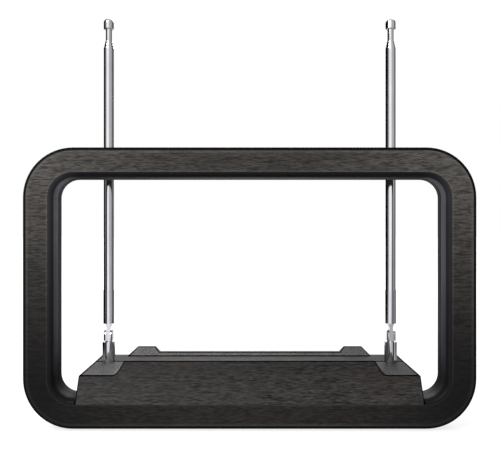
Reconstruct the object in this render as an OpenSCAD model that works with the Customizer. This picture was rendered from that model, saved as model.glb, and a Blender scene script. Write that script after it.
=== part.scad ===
// Indoor television antenna: a rounded frame that holds a wire loop, standing on a low base with
// two telescopic rods behind it. Millimetres, +Z up, the front faces -Y.
// The underside of the feet is at z = 0, and depths are counted back from the frame's front face.

/* [Frame] */
// Overall width of the frame
frame_w = 260; // [230:1:300]
// Overall height of the frame, without the feet
frame_h = 161.4; // [140:0.2:190]
// Outer corner radius of the frame
frame_r = 28.7; // [24:0.1:36]
// Depth of the frame from its front face to its back
frame_d = 18; // [16:0.5:22]
// Width of each bar of the frame, from its outer edge to the window
bar_w = 17; // [16:0.1:19]
// Width of the bevel between the face and the window
bevel = 2.8; // [1.5:0.1:3.5]
// Radius of the rounded outer edges
edge_r = 1.4; // [0.8:0.1:2]
// How far the window narrows from front to back, on each side
window_draft = 0.6; // [0:0.1:1]
// Depth of the frame's front moulding, where the seam runs
seam_d = 11; // [10:0.5:12]
// Wall thickness of the mouldings
wall = 2; // [1.6:0.1:2.4]
// Diameter of the loop's wire
loop_wire = 1.6; // [1:0.1:2]

/* [Base] */
// Distance from the frame's rounded corners to the sides of the base
base_inset = 1.05; // [0.5:0.05:8]
// Depth of the base, from the frame's front face to the back wall
base_d = 71.4; // [68:0.1:80]
// Height of the deck above the frame's underside
deck_h = 28.9; // [26:0.1:34]
// Depth at which the sloping panel meets the deck
deck_front = 9; // [6:0.5:12]
// Depth of the parting line across the deck, which the rods stand on
split_d = 47; // [44:0.5:50]
// Height of the crest above the deck
crest_h = 7.5; // [4:0.5:10]
// Distance from the sides of the base to the ends of the crest's top edge
crest_inset = 25.85; // [22:0.05:40]
// Slope of the crest's ends, in degrees from level
crest_slope = 60; // [45:1:75]
// Radius of the hollow fillet at the foot of the crest's ends
crest_fillet = 4; // [2:0.5:6]
// Height of the rear ridge above the deck
ridge_h = 2.2; // [1:0.1:3]
// Height of the ridge's two lugs above the deck
lug_h = 5.4; // [4:0.1:8]
// Thickness of the lugs at their top
lug_t = 2; // [1.5:0.1:4]
// Slope of the front of the ridge and its lugs, in degrees from level
ridge_slope = 45; // [40:1:75]
// Width of the top of each lug
lug_w = 12; // [8:0.5:20]
// Distance from the sides of the base to the middles of the lugs
lug_inset = 30.2; // [24:0.05:44]
// Radius of the top and side edges at the back of the base
back_r = 2.5; // [1:0.5:3]
// Thickness of the bottom plate
plate_t = 2.4; // [2:0.1:3]
// How far the rubber feet stand below the underside
foot_h = 1; // [0.5:0.1:2]
// Diameter of the rubber feet
foot_dia = 10; // [7:0.5:12]

/* [Rods] */
// Distance from the sides of the base to the axes of the rods
rod_inset = 9.45; // [8.8:0.05:12]
// Diameter of the swivel barrel
barrel_dia = 8; // [7:0.1:9]
// Height of the barrel's top above the deck
barrel_h = 12.9; // [8:0.1:18]
// Diameter of the spigot that turns between the mouldings
spigot_dia = 6; // [5:0.1:6.5]
// Width of the fork across its cheeks
fork_w = 5.6; // [5:0.1:7]
// Radius of the fork's cheeks
cheek_r = 3.2; // [2.8:0.1:3.6]
// Thickness of the tongue in the fork
tongue_t = 2.6; // [2:0.1:3]
// Diameter of the pivot pin
pin_dia = 2; // [1.5:0.1:2.4]
// Distance from the pivot to the ferrule
ferrule_up = 7.5; // [6:0.1:10]
// Length of the ferrule
ferrule_l = 21.4; // [12:0.1:30]
// Height of the outer tube's mouth above the pivot
rod_l = 185.2; // [140:0.2:240]
// Outside diameter of the outer tube
tube_dia = 6.5; // [6:0.1:7]
// How much thinner each inner section is than the one outside it
tube_step = 0.85; // [0.8:0.01:0.9]
// Wall thickness of the tubes
tube_t = 0.3; // [0.25:0.01:0.32]
// Wall thickness of the tip, which is a closed tube of its own
tip_t = 0.35; // [0.3:0.05:0.8]
// How far each mouth stands above the one outside it
mouth_step = 1.9; // [0.8:0.1:2.2]
// Length of the friction sleeves
sleeve_l = 8; // [5:0.5:12]
// Length of tip rod that shows above the last mouth
tip_shows = 7.7; // [3:0.1:12]
// Diameter of the tip knob
knob_dia = 6.5; // [5:0.1:8]
// Height of the tip knob
knob_h = 6.5; // [5:0.1:9]

/* [Inside] */
// Gap between the ballast bars and the front pillars
ballast_gap = 1.9; // [1.5:0.1:14]
// Depth of each ballast bar, front to back
ballast_d = 13; // [8:0.5:14]
// Height of each ballast bar
ballast_h = 10; // [6:0.5:12]
// Width of the circuit board
board_w = 56; // [46:1:56]
// Depth of the circuit board
board_d = 26; // [22:1:30]
// Thickness of the circuit board
board_t = 1.6; // [1:0.1:2]
// Height of the board's standoffs
standoff_h = 3.7; // [2.5:0.1:4]
// Major diameter of the jack's thread
jack_dia = 9.44; // [9.3:0.01:9.52]
// How far the jack stands out of the back wall
jack_out = 10.5; // [9:0.5:13]
// Height of the jack's axis above the frame's underside
jack_h = 13; // [11:0.5:16]

/* [Hidden] */
$fn = 64;

// Clearances: turning fits, parts that drop in, and thread cores in their holes
run_gap = 0.05;
seat_gap = 0.1;
drop_gap = 0.2;
core_gap = 0.05;
// Overlap that lets neighbouring forms of one moulding join
join = 0.5;
// How much fuller a wire is at its elbows
elbow = 1.04;

// Heights
z_under = foot_h;
z_floor = z_under + wall;
z_plate = z_under + plate_t;
z_deck = z_under + deck_h;
z_crest = z_deck + crest_h;
z_mid = z_under + frame_h / 2;
z_board = z_plate + standoff_h + board_t;
z_jack = z_under + jack_h;

// Widths that follow the frame's width
base_w = frame_w - 2 * (frame_r + base_inset);
crest_l = base_w - 2 * crest_inset;
lug_gap = base_w - 2 * lug_inset;

// The origin is under the middle of the whole antenna
front_y = -(base_d + jack_out) / 2;

// Sloping panel: it leaves the frame's face at the inner edge of the bottom bar
panel_z = z_under + bar_w - bevel;
panel_run = deck_front / (z_deck - panel_z);
panel_inset = wall * sqrt(1 + panel_run * panel_run);
crest_d = panel_run * (z_crest - panel_z);
crest_run = crest_h / tan(crest_slope);
crest_foot = crest_fillet * tan(crest_slope / 2);
hump_rest = 2;
hump_end = split_d - hump_rest;
hump_fall = crest_h / (hump_end - crest_d);

// Rear ridge
ridge_from = base_d - lug_t - lug_h / tan(ridge_slope);

// Seams between the mouldings
lip_t = 1;
lip_d = 2;
seam_groove = 0.4;
groove_w = 1.2;
groove_h = 1;
lip_inset = wall + seat_gap + lip_t;

// Frame screws, on the middle line of the bars: [x, z] from the middle of the frame
bar_x = frame_w / 2 - bar_w / 2;
bar_z = frame_h / 2 - bar_w / 2;
top_screw_share = 0.21;
upper_screw_share = 0.2;
lower_screw_share = 0.24;
frame_screw_spots = [[frame_w * top_screw_share, bar_z], [bar_x, frame_h * upper_screw_share],
    [bar_x, -frame_h * lower_screw_share]];
frame_screw_at = [for (side = [-1, 1], spot = frame_screw_spots) [side * spot[0], spot[1]]];
screw_core = 2.1;
screw_shank = 2.7;
screw_head = 4.8;
screw_head_h = 1.8;
slot_w = 0.7;
frame_head_sunk = 0.5;
boss_dia = 6.2;
boss_short = 1;
slot_share = 0.6;
slot_depth_share = 0.5;
frame_screw_short = 1.5;

// Ribs that hold the loop wire, as shares of the frame's width and height from its middle
top_rib_shares = [0.12, 0.33];
side_rib_shares = [-0.2, 0, 0.28];
rib_t = 1.6;

// Loop wire: it lies on the front wall, near the outer edge of the bars
loop_gap = 2.2;
loop_inset = wall + loop_gap;
loop_lies_d = wall + loop_wire / 2 + run_gap;
loop_half_gap = 12;
tail_z = z_board + loop_wire / 2;

// Housing screws that draw the rear moulding against the front one
housing_x = 45;
housing_drop = 6.5;
housing_z = z_deck - wall - housing_drop;
housing_head_in = 10;
housing_head_d = base_d - housing_head_in;
housing_core_l = 14;
housing_boss_dia = boss_dia + 3;
housing_screw_short = 1;

// Pillars that carry the bottom plate: [x, depth]
front_pillar_inset = 14.25;
front_pillar_back = 7;
rear_pillar_inset = 28.25;
rear_pillar_in = 8.5;
front_pillar = [base_w / 2 - front_pillar_inset, frame_d + front_pillar_back];
rear_pillar = [base_w / 2 - rear_pillar_inset, base_d - rear_pillar_in];
pillars = [for (side = [-1, 1], spot = [front_pillar, rear_pillar]) [side * spot[0], spot[1]]];
pillar_core_l = 12;
plate_head_sunk = 0.2;
plate_head_h = 1.2;
plate_screw_l = 9;

// Feet: the front pair under the bottom bar, the rear pair under the plate: [x, depth]
foot_inset = 12.25;
front_foot_back = 1;
rear_foot_in = 11;
front_foot = [base_w / 2 - foot_inset, frame_d / 2 + front_foot_back];
rear_foot = [base_w / 2 - foot_inset, base_d - rear_foot_in];
foot_sunk = 1;
foot_round = 0.4;

// Board and what stands on it
board_from = 28;
standoff_dia = 5;
stake_dia = 2.4;
stake_proud = 0.8;
stake_in = 4;
stakes = [for (side = [-1, 1], d = [stake_in, board_d - stake_in])
    [side * (board_w / 2 - stake_in), board_from + d]];
core_w = 14;
core_d = 8;
core_h = 7;
core_hole = 3.4;
core_back = 1;
core_mid_d = board_from + board_d / 2 + core_back;
winding_dia = 0.6;
winding_pitch = 1;
winding_end = 1;
capacitor_at = [-12, -4, 4];
capacitor_w = 5;
capacitor_d = 2.5;
capacitor_h = 4;
capacitor_clear = 2.5;
tail_on_board = 3;
ballast_clear = 3;
ballast_x = board_w / 2 + ballast_clear;
ballast_l = front_pillar[0] - boss_dia / 2 - ballast_gap - ballast_x;
ballast_from = frame_d + ballast_clear;
ballast_rib_t = 1.2;
ballast_rib_share = 0.6;

// Jack
jack_hex = 11;
jack_flange_t = 2.2;
jack_washer_t = 0.8;
jack_nut_t = 2.5;
jack_seat = jack_washer_t + jack_nut_t;
jack_in = wall + jack_flange_t;
jack_relief = 0.6;
jack_relief_cut = 0.5;
jack_washer_over = 1.25;
jack_chamfer = 0.4;
jack_bore = 7.2;
insulator_sunk = 0.6;
contact_sunk = 2.6;
contact_dia = 1.8;
contact_bore = 1.1;
contact_tail = 0.8;
contact_slant = 2;
contact_on_board = 5;

// Rods
rod_x = base_w / 2 - rod_inset;
bore_dia = spigot_dia + 2 * seat_gap;
clamp_drop = 5.9;
clamp_z = z_deck - wall - clamp_drop;
clamp_dia = 13;
barrel_z = z_deck + barrel_h;
neck_h = 1;
neck_dia = 4.4;
fork_z = barrel_z + neck_h;
cheek_rise = 0.1;
fork_relief = 0.4;
pivot_z = fork_z + cheek_r + cheek_rise;
tongue_inset = 0.6;
tongue_r = cheek_r - tongue_inset;
waist_t = 2;
waist_share = 0.6;
flare_share = 1.1;
tongue_blank = 0.3;
ferrule_z = pivot_z + ferrule_up;
ferrule_t = 0.225;
ferrule_dia = tube_dia + 2 * ferrule_t;
ferrule_floor = 3;
section_rest = 1;
mouth_z = pivot_z + rod_l;
rest_z = ferrule_z + ferrule_floor + section_rest;
mouth_l = 2.5;
mouth_taper = 0.9;
mouth_lip = 0.22;
neck_cut = 0.15;
sleeve_slit = 0.4;
tip_chamfer = 0.3;
tip_top_t = 1;
knob_socket = 4;
knob_chamfer = 0.4;
knob_dome_share = 0.3;

// Screw that holds the swivel
swivel_core = 3;
swivel_core_l = 8;
swivel_slot_l = 3;
swivel_slot_h = 1;

// Under the deck: lug, spring washer and flanged screw hang from the clamp
tab_t = 0.5;
spring_t = 0.4;
spring_rise = 0.45;
flange_dia = 9;
flange_t = 1.2;
tab_reach = 11;
tab_w = 4;
lead_dia = 1.2;
lead_out = 2;
lead_down = 4;
lead_from_edge = 16;
lead_lands_d = board_from + lead_from_edge;
lead_clear = 5;
lead_rise = 1.4;
lead_on_board = 6;
spigot_end = clamp_z - tab_t - run_gap - spring_t - spring_rise;

// How far the window's wall stands from the outer edge at a depth
function window_inset(d) = bar_w + window_draft * (d - bevel) / (frame_d - bevel);

// Outside diameter of a rod section, counted from 0 for the outer tube to 3 for the tip
function section_dia(i) = tube_dia - i * tube_step;
function section_bore(i) = section_dia(i) - 2 * tube_t;
function mouth_bore(i) = section_dia(i + 1) + 2 * run_gap;
function sleeve_dia(i) = section_bore(i - 1) - 2 * run_gap;

// Places a child at a depth behind the front face and a height
module at(x, d, z) {
    translate([x, front_y + d, z]) children();
}

// Extrudes a profile of [depth, height] points across the width
module across(width) {
    translate([0, front_y, 0]) rotate([90, 0, 90]) linear_extrude(width, center = true) children();
}

// Extrudes an outline of [x, height] points from one depth back to another
module backwards(from, to) {
    translate([0, front_y + to, 0]) rotate([90, 0, 0]) linear_extrude(to - from) children();
}

// A round bar that runs back from one depth to another
module rod_back(x, z, dia, from, to) {
    at(x, to, z) rotate([90, 0, 0]) cylinder(d = dia, h = to - from);
}

// A plain box between two depths
module block(x, width, from, to, low, high) {
    at(x - width / 2, from, low) cube([width, to - from, high - low]);
}

// Sweeps a section round the frame: its x runs from 0 at the outer edge to minus the inset,
// its y is minus the depth
module round_the_frame() {
    reach_x = frame_w / 2 - frame_r;
    reach_z = frame_h / 2 - frame_r;
    at(0, 0, z_mid) rotate([90, 0, 0])
        for (k = [0 : 3])
            translate([(k == 0 || k == 3 ? 1 : -1) * reach_x, (k < 2 ? 1 : -1) * reach_z, 0])
                rotate([0, 0, 90 * k]) {
                    rotate_extrude(angle = 90) translate([frame_r, 0]) children();
                    rotate([90, 0, 0]) linear_extrude(2 * (k % 2 == 0 ? reach_z : reach_x))
                        translate([frame_r, 0]) children();
                }
}

// A wire along a list of points, with round elbows a little fuller than the wire
module wire_run(points, dia) {
    for (i = [0 : len(points) - 2]) {
        leg = points[i + 1] - points[i];
        flat = norm([leg[0], leg[1]]);
        translate(points[i]) rotate([0, atan2(flat, leg[2]), atan2(leg[1], leg[0])])
            cylinder(d = dia, h = norm(leg));
    }
    for (i = [1 : len(points) - 2])
        translate(points[i]) sphere(d = dia * elbow);
}

// Frame

module front_section() {
    difference() {
        union() {
            translate([-edge_r, -edge_r]) circle(edge_r);
            polygon([[0, -seam_d], [0, -edge_r], [-edge_r, 0], [-(bar_w - bevel), 0],
                [-bar_w, -bevel], [-window_inset(seam_d), -seam_d]]);
        }
        polygon([[-wall, -seam_d - 1], [-wall, -wall], [-(bar_w - bevel - wall * 0.4), -wall],
            [-(bar_w - wall), -(bevel + wall * 0.4)], [-(bar_w - wall), -seam_d - 1]]);
    }
}

module rear_section() {
    inner = window_inset(seam_d);
    difference() {
        union() {
            translate([-edge_r, -(frame_d - edge_r)]) circle(edge_r);
            translate([-(window_inset(frame_d) - edge_r), -(frame_d - edge_r)]) circle(edge_r);
            polygon([[0, -seam_d - seam_groove], [0, -(frame_d - edge_r)], [-edge_r, -frame_d],
                [-(window_inset(frame_d) - edge_r), -frame_d],
                [-window_inset(frame_d), -(frame_d - edge_r)], [-inner, -seam_d - seam_groove]]);
            polygon([[-seam_groove, -seam_d], [-seam_groove, -seam_d - 1],
                [-(inner - seam_groove), -seam_d - 1], [-(inner - seam_groove), -seam_d]]);
            polygon([[-(wall + seat_gap), -(seam_d - lip_d)], [-(wall + seat_gap), -seam_d - 1],
                [-(bar_w - wall - seat_gap), -seam_d - 1], [-(bar_w - wall - seat_gap), -(seam_d - lip_d)]]);
        }
        polygon([[-lip_inset, -(seam_d - lip_d) + 1], [-lip_inset, -(frame_d - wall)],
            [-(bar_w - lip_inset), -(frame_d - wall)], [-(bar_w - lip_inset), -(seam_d - lip_d) + 1]]);
    }
}

// Base: outside and inside of the front moulding

module base_front_form() {
    across(base_w)
        polygon([[edge_r, z_under], [split_d, z_under], [split_d, z_deck], [deck_front, z_deck],
            [0, panel_z], [0, z_under + edge_r]]);
}

module crest_outline(shrink) {
    half = crest_l / 2;
    reach = half + crest_run + crest_foot;
    bend_x = half + crest_run - crest_foot * cos(crest_slope);
    bend_z = z_deck + crest_foot * sin(crest_slope);
    low = z_deck - wall / 2;
    if (shrink == 0)
        difference() {
            polygon([[-reach, low], [-reach, z_deck], [-bend_x, bend_z], [-half, z_crest],
                [half, z_crest], [bend_x, bend_z], [reach, z_deck], [reach, low]]);
            for (side = [-1, 1])
                translate([side * reach, z_deck + crest_fillet]) circle(crest_fillet);
        }
    else {
        under = z_deck - wall - join;
        top = half - shrink / sin(crest_slope);
        bottom = top + (z_crest - under) / tan(crest_slope);
        polygon([[-bottom, under], [-top, z_crest], [top, z_crest], [bottom, under]]);
    }
}

module hump_form() {
    intersection() {
        across(base_w)
            polygon([[panel_run * (z_deck - wall / 2 - panel_z), z_deck - wall / 2], [crest_d, z_crest],
                [hump_end, z_deck], [hump_end, z_deck - wall / 2]]);
        backwards(0, split_d) crest_outline(0);
    }
}

module hump_hollow() {
    fall = hump_fall;
    under = z_crest - wall * sqrt(1 + fall * fall);
    peak_z = (under + fall * (crest_d + panel_run * panel_z - panel_inset)) / (1 + fall * panel_run);
    low = z_deck - wall - join;
    intersection() {
        across(base_w)
            polygon([[panel_run * (low - panel_z) + panel_inset, low],
                [panel_run * (peak_z - panel_z) + panel_inset, peak_z],
                [crest_d + (under - z_deck + wall) / fall, z_deck - wall],
                [crest_d + (under - z_deck + wall) / fall, low]]);
        backwards(0, split_d) crest_outline(wall);
    }
}

module base_front_hollow() {
    across(base_w - 2 * wall)
        polygon([[wall, z_floor], [wall, panel_z - (panel_inset - wall) / panel_run],
            [panel_run * (z_deck - wall - panel_z) + panel_inset, z_deck - wall],
            [split_d + 1, z_deck - wall], [split_d + 1, z_under - 1], [frame_d, z_under - 1],
            [frame_d, z_floor]]);
}

// Groove that shows as the parting line on the deck and down the sides
module parting_groove() {
    difference() {
        block(0, base_w + 2, split_d - groove_w / 2, split_d + groove_w / 2, z_under - 1, z_deck + 1);
        block(0, base_w - 2 * groove_h, split_d - groove_w, split_d + groove_w,
            z_under - 2, z_deck - groove_h);
    }
}

module swivel_bores() {
    for (side = [-1, 1])
        at(side * rod_x, split_d, clamp_z - 1) cylinder(d = bore_dia, h = z_deck - clamp_z + 2);
}

module swivel_clamps(from, to) {
    for (side = [-1, 1])
        intersection() {
            at(side * rod_x, split_d, clamp_z) cylinder(d = clamp_dia, h = z_deck - clamp_z - wall / 2);
            block(side * rod_x, clamp_dia + 2, from, to, clamp_z - 1, z_deck);
        }
}

// Recess that a foot sits in
module foot_seat(side, spot) {
    at(side * spot[0], spot[1], z_under - 1) cylinder(d = foot_dia + 2 * seat_gap, h = 1 + foot_sunk);
}

module front_shell() color("#3d3936") difference() {
    union() {
        difference() {
            union() {
                round_the_frame() front_section();
                base_front_form();
                hump_form();
            }
            base_front_hollow();
            hump_hollow();
            for (side = [-1, 1])
                block(side * base_w / 2, 4 * wall, wall, wall + 2 * loop_wire + 1,
                    z_under + loop_inset - loop_wire, z_under + loop_inset + loop_wire);
        }
        for (p = frame_screw_at)
            rod_back(p[0], z_mid + p[1], boss_dia, wall / 2, seam_d - boss_short);
        for (side = [-1, 1]) {
            rod_back(side * housing_x, housing_z, boss_dia,
                panel_run * (housing_z - panel_z) + wall, split_d);
            at(side * front_pillar[0], front_pillar[1], z_plate)
                cylinder(d = boss_dia, h = z_deck - wall / 2 - z_plate);
        }
        swivel_clamps(0, split_d);
    }
    for (p = frame_screw_at)
        rod_back(p[0], z_mid + p[1], screw_core, wall + 1, seam_d);
    for (side = [-1, 1]) {
        rod_back(side * housing_x, housing_z, screw_core, split_d - housing_core_l, split_d + 1);
        at(side * front_pillar[0], front_pillar[1], z_plate - 1)
            cylinder(d = screw_core, h = pillar_core_l + 1);
        foot_seat(side, front_foot);
    }
    swivel_bores();
    parting_groove();
}

module frame_rear_shell() color("#26262a") difference() {
    union() {
        round_the_frame() rear_section();
        for (p = frame_screw_at)
            rod_back(p[0], z_mid + p[1], boss_dia, seam_d - boss_short + seat_gap, frame_d - wall / 2);
        for (side = [-1, 1], share = top_rib_shares)
            loop_rib(side * frame_w * share, z_under + frame_h - loop_inset, 0);
        for (side = [-1, 1], share = side_rib_shares)
            loop_rib(side * (frame_w / 2 - loop_inset), z_mid + share * frame_h, side);
    }
    block(0, base_w + 2 * seat_gap, -1, frame_d + 1, -1, z_deck + join);
    for (p = frame_screw_at) {
        rod_back(p[0], z_mid + p[1], screw_shank, 0, frame_d + 1);
        rod_back(p[0], z_mid + p[1], screw_head + 2 * drop_gap,
            frame_d - frame_head_sunk - screw_head_h, frame_d + 1);
    }
}

// Rib that holds the loop wire against the front wall; side is 0 on the top bar
module loop_rib(x, z, side) {
    reach = loop_wire + 1;
    size_x = side == 0 ? rib_t : reach;
    size_z = side == 0 ? reach : rib_t;
    from = loop_lies_d + loop_wire / 2 + seat_gap;
    at(x - size_x / 2, from, z - size_z / 2) cube([size_x, frame_d - wall / 2 - from, size_z]);
}

module ridge_outline() {
    outer = lug_gap / 2 + lug_w / 2;
    inner = lug_gap / 2 - lug_w / 2;
    valley = inner - (lug_h - ridge_h);
    low = z_deck - back_r - wall / 2;
    polygon([[-(outer + lug_h), low], [-(outer + lug_h), z_deck], [-outer, z_deck + lug_h],
        [-inner, z_deck + lug_h], [-valley, z_deck + ridge_h], [valley, z_deck + ridge_h],
        [inner, z_deck + lug_h], [outer, z_deck + lug_h], [outer + lug_h, z_deck], [outer + lug_h, low]]);
}

// Ridge along the back of the deck, with a lug near each end; its front slopes
module rear_ridge() {
    under = z_deck - back_r - wall / 2;
    intersection() {
        across(base_w)
            polygon([[ridge_from, z_deck - wall / 2], [ridge_from, z_deck], [base_d - lug_t, z_deck + lug_h],
                [base_d, z_deck + lug_h], [base_d, under], [base_d - wall, under],
                [base_d - wall, z_deck - wall / 2]]);
        backwards(ridge_from - 1, base_d + 1) ridge_outline();
    }
}

module base_rear_form() {
    intersection() {
        across(base_w) {
            polygon([[split_d, z_under], [base_d, z_under], [base_d, z_deck - back_r],
                [base_d - back_r, z_deck], [split_d, z_deck]]);
            translate([base_d - back_r, z_deck - back_r]) circle(back_r);
        }
        at(0, 0, z_under) linear_extrude(deck_h) {
            for (side = [-1, 1])
                translate([side * (base_w / 2 - back_r), base_d - back_r]) circle(back_r);
            translate([-base_w / 2, 0]) square([base_w, base_d - back_r]);
            translate([-(base_w / 2 - back_r), 0]) square([base_w - 2 * back_r, base_d]);
        }
    }
}

module base_rear_shell() color("#2b2b2d") difference() {
    union() {
        difference() {
            base_rear_form();
            block(0, base_w - 2 * wall, split_d - 1, base_d - wall, z_under - 1, z_deck - wall);
        }
        rear_ridge();
        for (side = [-1, 1]) {
            rod_back(side * housing_x, housing_z, housing_boss_dia, split_d, base_d - wall / 2);
            at(side * rear_pillar[0], rear_pillar[1], z_plate)
                cylinder(d = boss_dia, h = z_deck - wall / 2 - z_plate);
        }
        swivel_clamps(split_d, base_d);
    }
    for (side = [-1, 1]) {
        rod_back(side * housing_x, housing_z, screw_shank, split_d - 1, base_d);
        rod_back(side * housing_x, housing_z, screw_head + 2 * drop_gap, housing_head_d, base_d + 1);
        at(side * rear_pillar[0], rear_pillar[1], z_plate - 1)
            cylinder(d = screw_core, h = pillar_core_l + 1);
    }
    block(0, lug_gap + lug_w + 2 * lug_h, ridge_from - groove_w, ridge_from,
        z_deck - groove_h, z_deck + 1);
    rod_back(0, z_jack, jack_dia + 2 * seat_gap, base_d - 2 * wall, base_d + 1);
    swivel_bores();
    parting_groove();
}

// Bottom plate and what it carries

module bottom_plate() color("#232325") difference() {
    union() {
        block(0, base_w - 2 * (wall + drop_gap), frame_d + drop_gap, base_d - wall - drop_gap,
            z_under, z_plate);
        for (p = stakes) {
            at(p[0], p[1], z_plate - join) cylinder(d = standoff_dia, h = standoff_h + join);
            at(p[0], p[1], z_plate) cylinder(d = stake_dia, h = standoff_h + board_t + stake_proud);
        }
        for (side = [-1, 1], end = [0, 1])
            block(side * (ballast_x + end * ballast_l + (2 * end - 1) * (seat_gap + ballast_rib_t / 2)),
                ballast_rib_t, ballast_from, ballast_from + ballast_d,
                z_plate - join, z_plate + ballast_h * ballast_rib_share);
    }
    for (p = pillars) {
        at(p[0], p[1], z_under - 1) cylinder(d = screw_shank, h = plate_t + 2);
        at(p[0], p[1], z_under - 1)
            cylinder(d = screw_head + 2 * drop_gap, h = 1 + plate_head_sunk + plate_head_h);
    }
    for (side = [-1, 1])
        foot_seat(side, rear_foot);
}

module foot(side, spot) color("#1b1b1b")
    at(side * spot[0], spot[1], 0) rotate_extrude() {
        translate([foot_dia / 2 - foot_round, foot_round]) circle(foot_round);
        translate([0, foot_round]) square([foot_dia / 2, foot_h + foot_sunk - foot_round]);
        square([foot_dia / 2 - foot_round, 2 * foot_round]);
    }

module ballast_bar(side) color("#8b8d90")
    block(side * (ballast_x + ballast_l / 2), ballast_l, ballast_from, ballast_from + ballast_d,
        z_plate, z_plate + ballast_h);

// Wire loop with two tails that run back to the board
module loop_element() color("#b5803f") {
    difference() {
        round_the_frame() translate([-loop_inset, -loop_lies_d]) circle(d = loop_wire);
        block(0, 2 * loop_half_gap, -1, frame_d, z_under, z_under + bar_w);
    }
    low = z_under + loop_inset;
    for (side = [-1, 1]) {
        x = side * loop_half_gap;
        translate([0, front_y, 0])
            wire_run([[x + side, loop_lies_d, low], [x, loop_lies_d, low], [x, loop_lies_d, tail_z],
                [x, board_from + tail_on_board, tail_z]], loop_wire);
    }
}

module circuit_board() color("#2f6b3a") difference() {
    block(0, board_w, board_from, board_from + board_d, z_board - board_t, z_board);
    for (p = stakes)
        at(p[0], p[1], z_board - board_t - 1) cylinder(d = stake_dia + 2 * seat_gap, h = board_t + 2);
}

// Two-hole ferrite core
module balun_core() color("#3a3a3d") difference() {
    backwards(core_mid_d - core_d / 2, core_mid_d + core_d / 2) {
        for (side = [-1, 1])
            translate([side * (core_w - core_h) / 2, z_board + core_h / 2]) circle(d = core_h);
        translate([-(core_w - core_h) / 2, z_board]) square([core_w - core_h, core_h]);
    }
    for (side = [-1, 1])
        rod_back(side * (core_w - core_h) / 2, z_board + core_h / 2, core_hole,
            core_mid_d - core_d / 2 - 1, core_mid_d + core_d / 2 + 1);
}

module balun_winding() color("#a5552a")
    for (side = [-1, 1], turn = [0 : 1]) {
        x = side * (core_w - core_h) / 2;
        z = z_board + core_h / 2 + (turn - 0.5) * winding_pitch;
        out = winding_dia / 2 + seat_gap;
        near = core_mid_d - core_d / 2 - out;
        far = core_mid_d + core_d / 2 + out;
        edge = side * (core_w / 2 + out);
        translate([0, front_y, 0])
            wire_run([[x, near + winding_end, z], [x, near, z], [edge, near, z], [edge, far, z],
                [x, far, z], [x, near, z], [x, near + winding_end, z]], winding_dia);
    }

module matching_capacitors() color("#a8571f") {
    from = core_mid_d + core_d / 2 + capacitor_clear;
    for (x = capacitor_at)
        block(x, capacitor_w, from, from + capacitor_d, z_board, z_board + capacitor_h);
}

// Coaxial jack on the back wall

module jack_body() color("#c9cbce") at(0, base_d, z_jack) rotate([-90, 0, 0]) difference() {
    union() {
        translate([0, 0, -jack_in]) cylinder(d = jack_hex / cos(30), h = jack_flange_t, $fn = 6);
        translate([0, 0, -wall - join]) cylinder(d = jack_dia, h = wall + join + jack_seat);
        translate([0, 0, jack_seat - join])
            cylinder(d = jack_dia - 2 * jack_relief_cut, h = jack_relief + 2 * join);
        translate([0, 0, jack_seat + jack_relief])
            cylinder(d = jack_dia, h = jack_out - jack_seat - jack_relief - jack_chamfer);
        translate([0, 0, jack_out - jack_chamfer])
            cylinder(d1 = jack_dia, d2 = jack_dia - 2 * jack_chamfer, h = jack_chamfer);
    }
    translate([0, 0, -jack_in - 1]) cylinder(d = jack_bore, h = jack_out + jack_in + 2);
}

module jack_insulator() color("#e6e3da") at(0, base_d, z_jack) rotate([-90, 0, 0]) difference() {
    translate([0, 0, -jack_in])
        cylinder(d = jack_bore - 2 * core_gap, h = jack_out + jack_in - insulator_sunk);
    translate([0, 0, -jack_in - 1])
        cylinder(d = contact_dia + 2 * core_gap, h = 1 + jack_out + jack_in - contact_sunk + drop_gap);
    cylinder(d = contact_bore + 2 * core_gap, h = jack_out + 1);
}

module jack_contact() color("#c7a648") {
    top = z_board + contact_tail / 2;
    at(0, base_d, z_jack) rotate([-90, 0, 0]) difference() {
        translate([0, 0, -jack_in]) cylinder(d = contact_dia, h = jack_out + jack_in - contact_sunk);
        cylinder(d = contact_bore, h = jack_out);
    }
    edge = board_from + board_d;
    translate([0, front_y, 0])
        wire_run([[0, base_d - jack_in + join, z_jack], [0, edge + contact_slant, z_jack],
            [0, edge - contact_slant, top], [0, edge - contact_on_board, top]], contact_tail);
}

module hex_ring(from, thick) {
    at(0, base_d + from, z_jack) rotate([-90, 0, 0]) difference() {
        cylinder(d = jack_hex / cos(30), h = thick, $fn = 6);
        translate([0, 0, -1]) cylinder(d = jack_dia + 2 * core_gap, h = thick + 2);
    }
}

module jack_washer() color("#b9bbbe") at(0, base_d, z_jack) rotate([-90, 0, 0]) difference() {
    cylinder(d = jack_hex + 2 * jack_washer_over, h = jack_washer_t);
    translate([0, 0, -1]) cylinder(d = jack_dia + 2 * core_gap, h = jack_washer_t + 2);
}

module jack_nut() color("#c3c5c8") hex_ring(jack_washer_t, jack_nut_t);

// Leads from the solder lugs to the board
module lead(side) color("#9c2f2a") {
    start_x = rod_x - tab_reach;
    start_z = clamp_z - tab_t - lead_dia / 2;
    low = z_plate + lead_dia / 2 + seat_gap;
    top = z_board + lead_dia / 2 + run_gap;
    translate([0, front_y, 0])
        wire_run([[side * (start_x + lead_out), split_d, start_z],
            [side * (start_x - lead_out), split_d - lead_out / 2, start_z - lead_out / 2],
            [side * (start_x - lead_out - lead_down), split_d - lead_out, low],
            [side * (board_w / 2 + lead_clear), lead_lands_d, low],
            [side * (board_w / 2 + lead_rise), lead_lands_d, top],
            [side * (board_w / 2 - lead_on_board), lead_lands_d, top]], lead_dia);
}

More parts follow.
